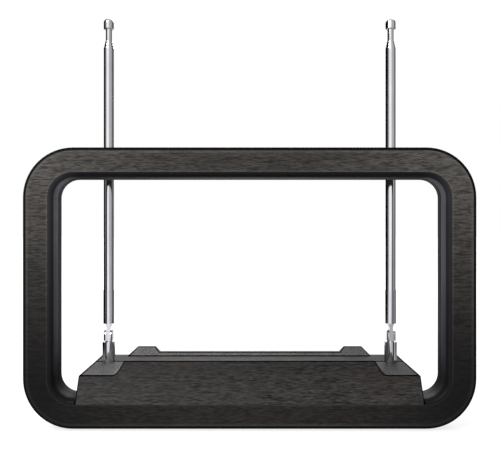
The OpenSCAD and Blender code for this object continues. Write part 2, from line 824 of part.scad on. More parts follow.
module terminal_lug(side) color("#bfc1c4") at(side * rod_x, split_d, clamp_z - tab_t) difference() {
    union() {
        cylinder(d = flange_dia, h = tab_t);
        translate([side < 0 ? 0 : -tab_reach, -tab_w / 2, 0]) cube([tab_reach, tab_w, tab_t]);
    }
    translate([0, 0, -1]) cylinder(d = spigot_dia + 4 * seat_gap, h = tab_t + 2);
}

// Screws

module screw(head_dia, head_h, shank_dia, length) {
    difference() {
        union() {
            cylinder(d = head_dia, h = head_h);
            translate([0, 0, head_h - join]) cylinder(d = shank_dia, h = length + join);
        }
        for (turn = [0, 90])
            rotate([0, 0, turn]) translate([-head_dia * slot_share / 2, -slot_w / 2, -1])
                cube([head_dia * slot_share, slot_w, 1 + head_h * slot_depth_share]);
    }
}

module frame_screws() color("#2f3032")
    for (p = frame_screw_at)
        at(p[0], frame_d - frame_head_sunk, z_mid + p[1]) rotate([90, 0, 0])
            screw(screw_head, screw_head_h, screw_core - 2 * core_gap,
                frame_d - frame_head_sunk - screw_head_h - wall - frame_screw_short);

module housing_screws() color("#2f3032")
    for (side = [-1, 1])
        at(side * housing_x, housing_head_d + screw_head_h, housing_z) rotate([90, 0, 0])
            screw(screw_head, screw_head_h, screw_core - 2 * core_gap,
                housing_head_d - split_d + housing_core_l - housing_screw_short);

module plate_screws() color("#2f3032")
    for (p = pillars)
        at(p[0], p[1], z_under + plate_head_sunk)
            screw(screw_head, plate_head_h, screw_core - 2 * core_gap, plate_screw_l);

// Swivel fork: barrel, neck and two cheeks above the deck, spigot below it
module swivel_fork(side) color("#c4c6ca") at(side * rod_x, split_d, 0) {
    floor_z = pivot_z - tongue_r - run_gap;
    difference() {
        union() {
            translate([0, 0, spigot_end]) cylinder(d = spigot_dia, h = z_deck + 1 - spigot_end);
            translate([0, 0, z_deck + seat_gap]) cylinder(d = barrel_dia, h = barrel_h - seat_gap);
            translate([0, 0, barrel_z - join]) cylinder(d = neck_dia, h = neck_h + 2 * join);
            intersection() {
                union() {
                    translate([0, 0, pivot_z]) rotate([0, 90, 0])
                        cylinder(r = cheek_r, h = fork_w, center = true);
                    translate([-fork_w / 2, -cheek_r, fork_z]) cube([fork_w, 2 * cheek_r, pivot_z - fork_z]);
                }
                translate([0, 0, fork_z]) cylinder(d = barrel_dia - 2 * fork_relief, h = barrel_dia);
            }
        }
        translate([-tongue_t / 2 - seat_gap, -barrel_dia, floor_z])
            cube([tongue_t + 2 * seat_gap, 2 * barrel_dia, barrel_dia]);
        translate([0, 0, pivot_z]) rotate([0, 90, 0])
            cylinder(d = pin_dia + core_gap, h = fork_w + 2, center = true);
        translate([0, 0, spigot_end - 1]) cylinder(d = swivel_core, h = swivel_core_l + 1);
    }
}

module pivot_pin(side) color("#d4d6d9")
    at(side * rod_x, split_d, pivot_z) rotate([0, 90, 0]) cylinder(d = pin_dia, h = fork_w, center = true);

module spring_washer(side) color("#9a9ca0")
    at(side * rod_x, split_d, spigot_end) rotate_extrude()
        polygon([[spigot_dia / 2 + seat_gap, 0], [flange_dia / 2, spring_rise],
            [flange_dia / 2, spring_rise + spring_t], [spigot_dia / 2 + seat_gap, spring_t]]);

module swivel_screw(side) color("#a7a9ac")
    at(side * rod_x, split_d, spigot_end) difference() {
        union() {
            translate([0, 0, -flange_t]) cylinder(d = flange_dia, h = flange_t);
            translate([0, 0, -flange_t - screw_head_h]) cylinder(d = screw_head, h = screw_head_h);
            translate([0, 0, -join]) cylinder(d = swivel_core - 2 * core_gap, h = swivel_core_l - 1 + join);
        }
        for (turn = [0, 90])
            rotate([0, 0, turn])
                translate([-swivel_slot_l / 2, -slot_w / 2, -flange_t - screw_head_h - 1])
                    cube([swivel_slot_l, slot_w, 1 + swivel_slot_h]);
    }

// Rod foot: a tongue with a heel that stops the rod upright, a waist and a ferrule
module rod_foot(side) color("#c9cbcf") at(side * rod_x, split_d, pivot_z) difference() {
    waist_z = ferrule_up * waist_share;
    flare = (ferrule_up - waist_z) * flare_share;
    union() {
        intersection() {
            rotate([90, 0, 0]) linear_extrude(2 * cheek_r, center = true) difference() {
                translate([-tongue_t / 2 - tongue_blank, -cheek_r])
                    square([tongue_t + 2 * tongue_blank, cheek_r + ferrule_up + join]);
                for (s = [-1, 1]) {
                    translate([s * (waist_t / 2 + flare), waist_z]) circle(flare);
                    translate([s * (tongue_t / 2 + flare) - flare, -cheek_r - 1])
                        square([2 * flare, cheek_r + 1 + waist_z]);
                }
            }
            rotate([90, 0, 90]) linear_extrude(tongue_t + 2, center = true) {
                circle(tongue_r);
                translate([-tongue_r, -tongue_r]) square(tongue_r);
                translate([-tongue_r, 0]) square([2 * tongue_r, ferrule_up + join]);
            }
        }
        translate([0, 0, ferrule_up]) cylinder(d = ferrule_dia, h = ferrule_l);
    }
    rotate([0, 90, 0]) cylinder(d = pin_dia + 2 * run_gap, h = fork_w, center = true);
    translate([0, 0, ferrule_up + ferrule_floor]) cylinder(d = tube_dia + 2 * core_gap, h = ferrule_l);
}

// One tube of a rod: a swaged mouth at the top and, on the inner sections, a neck for the sleeve
module tube(side, i) {
    r_out = section_dia(i) / 2;
    r_in = section_bore(i) / 2;
    r_mouth = mouth_bore(i) / 2;
    r_neck = i == 0 ? r_out : r_out - neck_cut;
    low = i == 0 ? ferrule_z + ferrule_floor + core_gap : rest_z;
    step = i == 0 ? 0.01 : sleeve_l;
    top = mouth_z + i * mouth_step;
    at(side * rod_x, split_d, 0) rotate_extrude()
        polygon([[r_in, low], [r_neck, low], [r_neck, low + step], [r_out, low + step],
            [r_out, top - mouth_taper], [r_mouth + mouth_lip, top], [r_mouth, top],
            [r_mouth, top - mouth_l], [r_in, top - mouth_l - mouth_lip]]);
}

module outer_tube(side) color("#d5d7db") tube(side, 0);

module second_section(side) color("#d2d4d8") tube(side, 1);

module third_section(side) color("#cfd1d5") tube(side, 2);

// Split friction sleeve at the lower end of section i
module sleeve(side, i) color("#b8893f") at(side * rod_x, split_d, rest_z) difference() {
    cylinder(d = sleeve_dia(i), h = sleeve_l);
    translate([0, 0, -1]) cylinder(d = section_dia(i) - 2 * neck_cut + core_gap, h = sleeve_l + 2);
    translate([-sleeve_slit / 2, 0, -1]) cube([sleeve_slit, tube_dia, sleeve_l + 2]);
}

module tip_rod(side) color("#d8dade") at(side * rod_x, split_d, 0) {
    top = mouth_z + 2 * mouth_step + tip_shows + knob_socket;
    r = section_dia(3) / 2;
    rotate_extrude()
        polygon([[r - tip_t, rest_z], [r - neck_cut, rest_z], [r - neck_cut, rest_z + sleeve_l],
            [r, rest_z + sleeve_l], [r, top - tip_chamfer], [r - tip_chamfer, top], [0, top],
            [0, top - tip_top_t], [r - tip_t, top - tip_top_t]]);
}

module tip_knob(side) color("#d0d2d6")
    at(side * rod_x, split_d, mouth_z + 2 * mouth_step + tip_shows) difference() {
        rotate_extrude() {
            r = knob_dia / 2;
            dome = knob_dia * knob_dome_share;
            difference() {
                union() {
                    translate([0, knob_chamfer]) square([r, knob_h - dome - knob_chamfer]);
                    polygon([[0, 0], [r - knob_chamfer, 0], [r, knob_chamfer], [0, knob_chamfer]]);
                    translate([r - dome, knob_h - dome]) circle(dome);
                    translate([0, knob_h - dome - seat_gap]) square([r - dome, dome + seat_gap]);
                }
                translate([-knob_dia, -1]) square([knob_dia, knob_h + 2]);
            }
        }
        translate([0, 0, -1]) cylinder(d = section_dia(3) + core_gap, h = knob_socket + 1 + seat_gap);
    }

front_shell();
frame_rear_shell();
base_rear_shell();
bottom_plate();
foot(-1, front_foot);  // front_left_foot
foot(1, front_foot);  // front_right_foot
foot(-1, rear_foot);  // rear_left_foot
foot(1, rear_foot);  // rear_right_foot
ballast_bar(-1);  // left_ballast_bar
ballast_bar(1);  // right_ballast_bar
loop_element();
circuit_board();
balun_core();
balun_winding();
matching_capacitors();
jack_body();
jack_insulator();
jack_contact();
jack_washer();
jack_nut();
lead(-1);  // left_lead
lead(1);  // right_lead
terminal_lug(-1);  // left_terminal_lug
terminal_lug(1);  // right_terminal_lug
frame_screws();
housing_screws();
plate_screws();
swivel_fork(-1);  // left_swivel_fork
spring_washer(-1);  // left_spring_washer
swivel_screw(-1);  // left_swivel_screw
pivot_pin(-1);  // left_pivot_pin
rod_foot(-1);  // left_rod_foot
outer_tube(-1);  // left_outer_tube
second_section(-1);  // left_second_section
sleeve(-1, 1);  // left_second_sleeve
third_section(-1);  // left_third_section
sleeve(-1, 2);  // left_third_sleeve
tip_rod(-1);  // left_tip_rod
sleeve(-1, 3);  // left_tip_sleeve
tip_knob(-1);  // left_tip_knob
swivel_fork(1);  // right_swivel_fork
spring_washer(1);  // right_spring_washer
swivel_screw(1);  // right_swivel_screw
pivot_pin(1);  // right_pivot_pin
rod_foot(1);  // right_rod_foot
outer_tube(1);  // right_outer_tube
second_section(1);  // right_second_section
sleeve(1, 1);  // right_second_sleeve
third_section(1);  // right_third_section
sleeve(1, 2);  // right_third_sleeve
tip_rod(1);  // right_tip_rod
sleeve(1, 3);  // right_tip_sleeve
tip_knob(1);  // right_tip_knob
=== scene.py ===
import math

import bmesh
import bpy
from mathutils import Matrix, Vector


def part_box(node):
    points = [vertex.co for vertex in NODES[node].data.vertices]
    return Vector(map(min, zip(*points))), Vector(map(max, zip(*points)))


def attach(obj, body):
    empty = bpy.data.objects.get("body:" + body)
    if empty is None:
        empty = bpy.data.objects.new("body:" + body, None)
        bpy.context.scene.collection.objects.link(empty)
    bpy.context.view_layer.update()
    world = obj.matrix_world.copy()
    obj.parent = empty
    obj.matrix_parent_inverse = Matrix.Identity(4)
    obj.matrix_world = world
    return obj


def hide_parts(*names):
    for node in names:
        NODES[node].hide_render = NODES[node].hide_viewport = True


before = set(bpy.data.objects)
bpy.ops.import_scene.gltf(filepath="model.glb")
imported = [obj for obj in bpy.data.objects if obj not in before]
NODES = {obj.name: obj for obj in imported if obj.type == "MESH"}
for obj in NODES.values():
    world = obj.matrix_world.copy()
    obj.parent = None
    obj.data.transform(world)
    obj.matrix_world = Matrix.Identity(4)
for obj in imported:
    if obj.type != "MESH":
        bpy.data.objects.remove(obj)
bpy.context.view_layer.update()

# Sizes of the mouldings in metres, as the CAD has them
FRONT_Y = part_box("front_shell")[0].y
HALF_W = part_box("front_shell")[1].x
HALF_H = 0.0807
MID_Z = 0.0817
CORNER_R = 0.0287
ROUND_R = 0.0014
FACE_INSET = 0.0142
FILM_INSET = 0.0019
SEAM_D = 0.011
BASE_HALF = 0.10025
PANEL_Z = 0.0152
DECK_Z = 0.0299
DECK_FRONT = 0.009
PANEL_RUN = DECK_FRONT / (DECK_Z - PANEL_Z)
SPLIT_Y = FRONT_Y + 0.047
RIDGE_Y = FRONT_Y + 0.064
GROOVE_W = 0.0012
GROOVE_REACH = 0.0012
GROOVE_SPARE = 0.0001
CREST_REACH = 0.02
CREST_FOOT = 0.003
NEAR = 0.00003

# Widths of the roundings on the eased mouldings
WIDEST = 0.0009
CREST_ROUND = 0.0007
RIM_ROUND = 0.0006

# Where the finishes and the painted light and shade change, in metres
FADE_HALF = 0.1
DARK_RIM = (0.0023, 0.0017)
UPRIGHT_X = (0.098, 0.11)
WALL_Z = (0.05, 0.135)
CORNER_Z = (0.027, 0.045)
WALL_SHADE_X = (0.05, 0.105)
FILM_Z = (0.0247, 0.144)
FILM_HALF = 0.115
FILM_RIGHT_X = 0.06
PANEL_FILM_Z = (PANEL_Z + 0.006, DECK_Z + 0.004)

# Angles in degrees: faces merged below the first, edges rounded above the second, shaded sharp
# above the third
MERGE_DEG = 0.3
ROUND_DEG = 20
CREASE_DEG = 38

# Camera, in metres and millimetres
CAMERA_X = 0.0002
CAMERA_BACK = 0.3658
CAMERA_Z = 0.1177
LENS_MM = 46.08
SENSOR_MM = 36.0


def srgb(r, g, b):
    """Scene colour of an 8-bit screen colour."""
    def line(v):
        v = v / 255
        return v / 12.92 if v <= 0.04045 else ((v + 0.055) / 1.055) ** 2.4
    return (line(r), line(g), line(b), 1.0)


class Tree:
    """Short names for making and joining nodes."""

    def __init__(self, tree):
        self.tree = tree

    def node(self, kind, **settings):
        made = self.tree.nodes.new("ShaderNode" + kind)
        for key, value in settings.items():
            setattr(made, key, value)
        return made

    def feed(self, socket, value):
        if isinstance(value, bpy.types.NodeSocket):
            self.tree.links.new(value, socket)
        else:
            socket.default_value = value

    def calc(self, operation, a, b=0.0, clamp=False):
        made = self.node("Math", operation=operation, use_clamp=clamp)
        self.feed(made.inputs[0], a)
        self.feed(made.inputs[1], b)
        return made.outputs[0]

    def ramp(self, value, low, high, to_low=0.0, to_high=1.0):
        made = self.node("MapRange", clamp=True)
        self.feed(made.inputs["Value"], value)
        limits = (("From Min", low), ("From Max", high), ("To Min", to_low), ("To Max", to_high))
        for key, number in limits:
            made.inputs[key].default_value = number
        return made.outputs["Result"]

    def split(self, vector):
        parts = self.node("SeparateXYZ")
        self.feed(parts.inputs[0], vector)
        return parts.outputs[0], parts.outputs[1], parts.outputs[2]

    def join(self, share, first, second):
        """Mixes two shaders."""
        made = self.node("MixShader")
        self.feed(made.inputs[0], share)
        self.feed(made.inputs[1], first)
        self.feed(made.inputs[2], second)
        return made.outputs[0]


class Maker(Tree):
    """Builds one material's nodes."""

    def __init__(self, name):
        self.material = bpy.data.materials.new(name)
        self.material.use_nodes = True
        super().__init__(self.material.node_tree)
        self.shader = self.tree.nodes["Principled BSDF"]
        self.place = self.node("TexCoord").outputs["Object"]

    def noise(self, scale, detail=2.0, roughness=0.5, stretch=(1, 1, 1), distortion=0.0):
        mapping = self.node("Mapping")
        mapping.inputs["Scale"].default_value = stretch
        self.feed(mapping.inputs["Vector"], self.place)
        made = self.node("TexNoise")
        self.feed(made.inputs["Vector"], mapping.outputs["Vector"])
        made.inputs["Scale"].default_value = scale
        made.inputs["Detail"].default_value = detail
        made.inputs["Roughness"].default_value = roughness
        made.inputs["Distortion"].default_value = distortion
        return made.outputs["Fac"]

    def mix(self, share, a, b):
        made = self.node("Mix", data_type="RGBA")
        self.feed(made.inputs[0], share)
        self.feed(made.inputs[6], a)
        self.feed(made.inputs[7], b)
        return made.outputs[2]

    def bump(self, height, strength, distance):
        made = self.node("Bump")
        made.inputs["Strength"].default_value = strength
        made.inputs["Distance"].default_value = distance
        self.feed(made.inputs["Height"], height)
        return made.outputs["Normal"]

    def finish(self, color, roughness, normal, **constants):
        self.feed(self.shader.inputs["Base Color"], color)
        self.feed(self.shader.inputs["Roughness"], roughness)
        self.feed(self.shader.inputs["Normal"], normal)
        for key, value in constants.items():
            self.shader.inputs[key.replace("_", " ")].default_value = value
        return self.material


def plastic(name, low, high, roughness, grain=0.05, speck=2600.0, **constants):
    """Moulded plastic: slight mottling, a fine spark-eroded texture and uneven gloss."""
    m = Maker(name)
    cloud = m.noise(60.0, 3.0)
    fine = m.noise(speck, 2.0)
    color = m.mix(m.ramp(cloud, 0.35, 0.65), srgb(*low), srgb(*high))
    rough = m.ramp(fine, 0.3, 0.7, roughness - 0.05, roughness + 0.05)
    return m.finish(color, rough, m.bump(fine, grain, 0.0002), **constants)


def textured(name, dark, light, right_shade=0.6, gloss=0.15, roughness=0.55):
    """Coarse-textured grey plastic, speckled. Painted shade makes it darker and duller to the right, as
    if lit from the left, and nearly black along the base's side edges."""
    m = Maker(name)
    speck = m.noise(1300.0, 2.5, 0.6)
    cloud = m.noise(140.0, 2.0)
    x, _, _ = m.split(m.place)
    tone = m.calc("ADD", m.calc("MULTIPLY", speck, 0.8), m.calc("MULTIPLY", cloud, 0.2))
    color = m.mix(m.ramp(tone, 0.36, 0.64), srgb(*dark), srgb(*light))
    # Painted shade: the colour darkens to the right, as the light falls from the left
    color = m.mix(m.ramp(x, -FADE_HALF, FADE_HALF, 0.0, right_shade), color, srgb(12, 12, 13))
    # Painted shade: a near-black band along the base's side edges
    rim = m.ramp(m.calc("ABSOLUTE", x), BASE_HALF - DARK_RIM[0], BASE_HALF - DARK_RIM[1], 0.0, 0.9)
    painted_shade_color = m.mix(rim, color, srgb(8, 8, 9))
    # Painted shade: the gloss also fades to the right and dies on that band
    shine = m.calc("MULTIPLY", m.ramp(x, -FADE_HALF, FADE_HALF, gloss, gloss * (1 - right_shade)),
                   m.calc("SUBTRACT", 1.0, rim))
    m.feed(m.shader.inputs["Specular IOR Level"], shine)
    rough = m.ramp(speck, 0.3, 0.7, roughness - 0.05, roughness + 0.05)
    return m.finish(painted_shade_color, rough, m.bump(speck, 0.25, 0.0003))


def side_lit(name, top, high, low, foot, roughness):
    """Smooth plastic of the window's inner faces, with light and shade painted into its colour. The two
    upright ones are paler towards the top (painted light), the right one is a little darker than the
    left one (painted shade), and all darken into the lower corners (painted shade)."""
    m = Maker(name)
    fine = m.noise(2600.0, 2.0)
    cloud = m.noise(60.0, 3.0)
    x, _, z = m.split(m.place)
    upright = m.ramp(m.calc("ABSOLUTE", x), *UPRIGHT_X)
    # Painted light: the upright faces pale towards the top
    side = m.mix(m.ramp(z, *WALL_Z), srgb(*low), srgb(*high))
    # Painted shade: all faces darken into the lower corners (the foot colour)
    color = m.mix(m.ramp(z, *CORNER_Z), srgb(*foot), m.mix(upright, srgb(*top), side))
    # Painted shade: the right upright a little darker
    color = m.mix(m.ramp(x, *WALL_SHADE_X, 0.0, 0.33), color, srgb(*foot))
    color = m.mix(m.ramp(cloud, 0.35, 0.65, 0.0, 0.2), color, srgb(*foot))
    rough = m.ramp(fine, 0.3, 0.7, roughness - 0.05, roughness + 0.05)
    return m.finish(color, rough, m.bump(fine, 0.05, 0.0002), Specular_IOR_Level=0.12)


def metal(name, low, high, roughness, streak=(1, 1, 1), scale=900.0, grain=0.02, **constants):
    """Metal with fine turning or rolling marks along one way."""
    m = Maker(name)
    marks = m.noise(scale, 3.0, stretch=streak)
    cloud = m.noise(90.0, 2.0)
    color = m.mix(m.ramp(cloud, 0.3, 0.7), srgb(*low), srgb(*high))
    rough = m.ramp(marks, 0.3, 0.7, max(roughness - 0.03, 0.02), roughness + 0.04)
    return m.finish(color, rough, m.bump(marks, grain, 0.0001), Metallic=1.0, **constants)


def wood_grain(m):
    """Horizontal grain: short fine dashes over wider bands."""
    dash = m.noise(1700.0, 3.0, 0.6, stretch=(0.14, 1, 1), distortion=0.15)
    band = m.noise(420.0, 3.0, 0.6, stretch=(0.12, 1, 1.1))
    grain = m.calc("ADD", m.calc("MULTIPLY", dash, 0.72), m.calc("MULTIPLY", band, 0.28))
    pore = m.noise(1500.0, 2.0, 0.5, stretch=(0.16, 1, 0.9))
    return grain, m.ramp(pore, 0.57, 0.68, 0.0, 0.55)


def tinted(m, color, warm, cool):
    """Wide patches that lean to a warm and to a cool brown."""
    patch = m.noise(70.0, 2.0, 0.5, stretch=(0.6, 1, 1.4))
    color = m.mix(m.ramp(patch, 0.52, 0.66, 0.0, 0.28), color, warm)
    return m.mix(m.ramp(patch, 0.48, 0.34, 0.0, 0.28), color, cool)


def film_finish(m, grain, color):
    """Uneven gloss and a slight relief that follows the grain."""
    fine = m.noise(2600.0, 2.0)
    relief = m.calc("ADD", m.calc("MULTIPLY", fine, 0.2), grain)
    rough = m.ramp(grain, 0.35, 0.65, 0.44, 0.54)
    return m.finish(color, rough, m.bump(relief, 0.2, 0.0003), Specular_IOR_Level=0.15)


def frame_film():
    """Film on the frame. A painted reflection makes it palest at the upper corners and darkest at the
    lower ones, and a little paler to the right; painted highlights make it paler in two thin lines
    along the inner and outer margins of its face, and it is black where it wraps round the edge."""
    m = Maker("frame_film")
    grain, pore = wood_grain(m)
    x, _, z = m.split(m.place)
    # Painted reflection and shade: the tone runs from palest at the upper corners to darkest at the
    # lower ones
    height = m.ramp(z, *FILM_Z)
    side = m.calc("POWER", m.calc("DIVIDE", x, FILM_HALF), 2.0, clamp=True)
    at_side = m.calc("MULTIPLY", m.calc("POWER", height, 1.7), 0.88)
    at_middle = m.ramp(height, 0.0, 1.0, 0.2, 0.45)
    tone = m.calc("ADD", m.calc("MULTIPLY", side, at_side),
                  m.calc("MULTIPLY", m.calc("SUBTRACT", 1.0, side), at_middle))
    # Painted light: a little paler to the right
    painted_light_right = m.ramp(x, FILM_RIGHT_X, FILM_HALF, 0.0, 0.11)
    tone = m.calc("ADD", tone, m.calc("MULTIPLY", height, painted_light_right))
    over_x = m.calc("SUBTRACT", m.calc("ABSOLUTE", x), HALF_W - CORNER_R)
    over_z = m.calc("SUBTRACT", m.calc("ABSOLUTE", m.calc("SUBTRACT", z, MID_Z)), HALF_H - CORNER_R)
    past_x = m.calc("MAXIMUM", over_x, 0.0)
    past_z = m.calc("MAXIMUM", over_z, 0.0)
    past = m.calc("SQRT", m.calc("ADD", m.calc("MULTIPLY", past_x, past_x),
                                 m.calc("MULTIPLY", past_z, past_z)))
    within = m.calc("MINIMUM", m.calc("MAXIMUM", over_x, over_z), 0.0)
    deep = m.calc("SUBTRACT", CORNER_R, m.calc("ADD", past, within))
    # Painted highlight: thin pale lines along the outer and inner margins of the face
    outer = m.ramp(deep, FILM_INSET + 0.0006, FILM_INSET + 0.0018, 1.0, 0.0)
    inner = m.ramp(deep, FACE_INSET - 0.0012, FACE_INSET - 0.0004, 0.0, 0.8)
    border_highlight = m.calc("MULTIPLY", m.calc("MAXIMUM", outer, inner), m.ramp(tone, 0.0, 0.5, 0.06, 0.26))
    dark = m.mix(tone, srgb(16, 15, 15), srgb(66, 63, 61))
    light = m.mix(tone, srgb(28, 26, 27), srgb(126, 121, 117))
    color = m.mix(m.ramp(grain, 0.4, 0.6), dark, light)
    color = m.mix(pore, color, m.mix(tone, srgb(13, 12, 12), srgb(36, 33, 32)))
    color = m.mix(border_highlight, color, srgb(140, 138, 134))
    color = tinted(m, color, m.mix(tone, srgb(27, 22, 22), srgb(98, 87, 82)),
                   m.mix(tone, srgb(23, 24, 22), srgb(92, 94, 82)))
    wrapped = m.ramp(deep, FILM_INSET - 0.0002, FILM_INSET + 0.0002, 1.0, 0.0)
    color = m.mix(wrapped, color, srgb(9, 9, 10))
    return film_finish(m, grain, color)


def panel_film():
    """Film on the base's sloping panel, a little darker towards the crest."""
    m = Maker("panel_film")
    grain, pore = wood_grain(m)
    _, _, z = m.split(m.place)
    height = m.ramp(z, *PANEL_FILM_Z)
    dark = m.mix(height, srgb(22, 21, 21), srgb(18, 17, 17))
    light = m.mix(height, srgb(83, 80, 78), srgb(71, 69, 67))
    color = m.mix(m.ramp(grain, 0.39, 0.61), dark, light)
    color = m.mix(pore, color, srgb(10, 9, 9))
    color = tinted(m, color, srgb(64, 53, 49), srgb(50, 52, 44))
    return film_finish(m, grain, color)


SATIN = plastic("black_moulding", (20, 20, 21), (27, 27, 29), 0.4, Specular_IOR_Level=0.25)
FRAME_EDGE = plastic("frame_edge", (8, 8, 9), (12, 12, 13), 0.5, Specular_IOR_Level=0.04)
FRAME_BEVEL = side_lit("frame_bevel", top=(28, 28, 31), high=(66, 66, 71), low=(33, 33, 36),
                       foot=(24, 24, 26), roughness=0.45)
FRAME_WALL = side_lit("frame_wall", top=(62, 62, 68), high=(132, 132, 142), low=(70, 70, 77),
                      foot=(30, 30, 33), roughness=0.5)
# Near-black with no gloss: the grooves and roundings are real, their near-black colour is painted shade
EDGE_SHADE = plastic("edge_painted_shade", (4, 4, 5), (6, 6, 7), 0.6, Specular_IOR_Level=0.0)
PAD_GREY = textured("pad_grey", (56, 55, 56), (126, 124, 124))
DECK_GREY = textured("deck_grey", (50, 49, 50), (108, 106, 106))
# Paler grey on the ridge's and lugs' sloping faces is painted light; its fade to the right is painted
# shade
LUG_PAINTED_LIGHT = textured("lug_grey_painted_light", (92, 91, 91), (166, 164, 163), 0.45)
# Pale grey on the crest's end faces is a painted highlight, faded to dark at the right end by painted
# shade
CREST_END_HIGHLIGHT = textured("crest_end_highlight", (104, 104, 105), (142, 141, 140), 0.8, 0.3)
FRAME_FILM = frame_film()
PANEL_FILM = panel_film()
MATERIALS = {
    "rear": plastic("rear_moulding", (22, 22, 23), (29, 29, 30), 0.55, grain=0.1,
                    Specular_IOR_Level=0.2),
    "under": plastic("bottom_moulding", (24, 24, 26), (32, 32, 34), 0.55, grain=0.12,
                     Specular_IOR_Level=0.3),
    "rubber": plastic("rubber", (20, 20, 20), (30, 30, 29), 0.8, grain=0.2, Specular_IOR_Level=0.3),
    "insulator": plastic("insulator", (214, 210, 200), (228, 225, 216), 0.45),
    "board": plastic("solder_mask", (28, 82, 44), (40, 100, 56), 0.35),
    "ferrite": plastic("ferrite", (44, 44, 46), (58, 58, 60), 0.6, grain=0.2),
    "capacitor": plastic("capacitor", (150, 82, 30), (172, 98, 40), 0.4),
    "lead": plastic("lead_cover", (140, 36, 30), (160, 46, 38), 0.5),
    "chrome": metal("chrome", (232, 232, 237), (240, 240, 244), 0.06, streak=(1, 1, 0.04)),
    "bright_steel": metal("bright_steel", (222, 222, 228), (230, 230, 236), 0.08, streak=(1, 1, 0.04)),
    "nickel": metal("nickel", (186, 184, 178), (202, 200, 194), 0.24, streak=(1, 0.05, 1)),
    "steel": metal("steel", (148, 150, 154), (170, 172, 176), 0.34),
    "black_steel": metal("blackened_steel", (38, 38, 40), (56, 56, 58), 0.4),
    "brass": metal("brass", (188, 150, 76), (206, 168, 92), 0.3),
    "bronze": metal("bronze", (170, 120, 66), (190, 138, 80), 0.3),
}
WEARS = {
    "front_shell": "rear", "base_rear_shell": "rear", "frame_rear_shell": "rear",
    "bottom_plate": "under",
    "loop_element": "brass", "circuit_board": "board", "balun_core": "ferrite", "balun_winding": "brass",
    "matching_capacitors": "capacitor", "jack_body": "nickel", "jack_insulator": "insulator",
    "jack_contact": "brass", "jack_washer": "nickel", "jack_nut": "nickel",
}
BY_PART = (("rod_foot", "bright_steel"), ("foot", "rubber"), ("ballast", "steel"), ("_lead", "lead"),
           ("terminal_lug", "steel"), ("screws", "black_steel"), ("spring_washer", "bronze"),
           ("swivel_screw", "steel"), ("sleeve", "bronze"))


def finish_of(name):
    if name in WEARS:
        return WEARS[name]
    for part, made in BY_PART:
        if part in name:
            return made
    return "chrome"


for name, piece in NODES.items():
    piece.data.materials.clear()
    piece.data.materials.append(MATERIALS[finish_of(name)])


def eased(name, node, materials, sort_face, pick_edge, edge_slot):
    """A copy of a CAD node whose picked edges are rounded, with a finish for each kind of face.
    pick_edge gives the width of the rounding, or 0 for an edge that stays sharp."""
    bm = bmesh.new()
    bm.from_mesh(NODES[node].data)
    bmesh.ops.remove_doubles(bm, verts=bm.verts, dist=1e-6)
    bmesh.ops.dissolve_limit(bm, angle_limit=math.radians(MERGE_DEG), verts=bm.verts,
                             edges=bm.edges, use_dissolve_boundaries=False)
    bm.normal_update()
    for face in bm.faces:
        face.material_index = sort_face(face)
        face.smooth = True
    sharp = math.radians(ROUND_DEG)
    weight = bm.edges.layers.float.new("bevel_weight_edge")
    for edge in bm.edges:
        if edge.is_manifold and edge.is_convex and edge.calc_face_angle() > sharp:
            edge[weight] = pick_edge(edge) / WIDEST
    mesh = bpy.data.meshes.new(name)
    bm.to_mesh(mesh)
    bm.free()
    for material in materials:
        mesh.materials.append(material)
    mesh.set_sharp_from_angle(angle=math.radians(CREASE_DEG))
    made = bpy.data.objects.new(name, mesh)
    bpy.context.scene.collection.objects.link(made)
    rounding = made.modifiers.new("rounding", "BEVEL")
    rounding.limit_method = "WEIGHT"
    rounding.offset_type = "OFFSET"
    rounding.width = WIDEST
    rounding.segments = 3
    rounding.material = edge_slot
    rounding.use_clamp_overlap = False
    weighted = made.modifiers.new("weighted", "WEIGHTED_NORMAL")
    weighted.keep_sharp = True
    weighted.weight = 100
    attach(made, "root")
    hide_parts(node)
    return made


def on_panel(v):
    """Whether a point lies in the plane of the sloping panel."""
    on_plane = abs(v.y - FRONT_Y - PANEL_RUN * (v.z - PANEL_Z)) < NEAR
    return on_plane and v.z > PANEL_Z - NEAR and abs(v.x) < BASE_HALF + NEAR


def inset(v):
    """How far a point of the frame is from its outer edge."""
    over_x = abs(v.x) - (HALF_W - CORNER_R)
    over_z = abs(v.z - MID_Z) - (HALF_H - CORNER_R)
    return CORNER_R - math.hypot(max(over_x, 0), max(over_z, 0)) - min(max(over_x, over_z), 0)


def on_side(v):
    """Whether a point lies on a side edge of the deck."""
    return abs(v.x) > BASE_HALF - NEAR and abs(v.z - DECK_Z) < NEAR


(PLAIN_FACE, FILM_FACE, PANEL_FACE, SIDE_EDGE, PAD_FACE, DARK_FACE, WALL_FACE, BEVEL_FACE,
 END_FACE) = range(9)


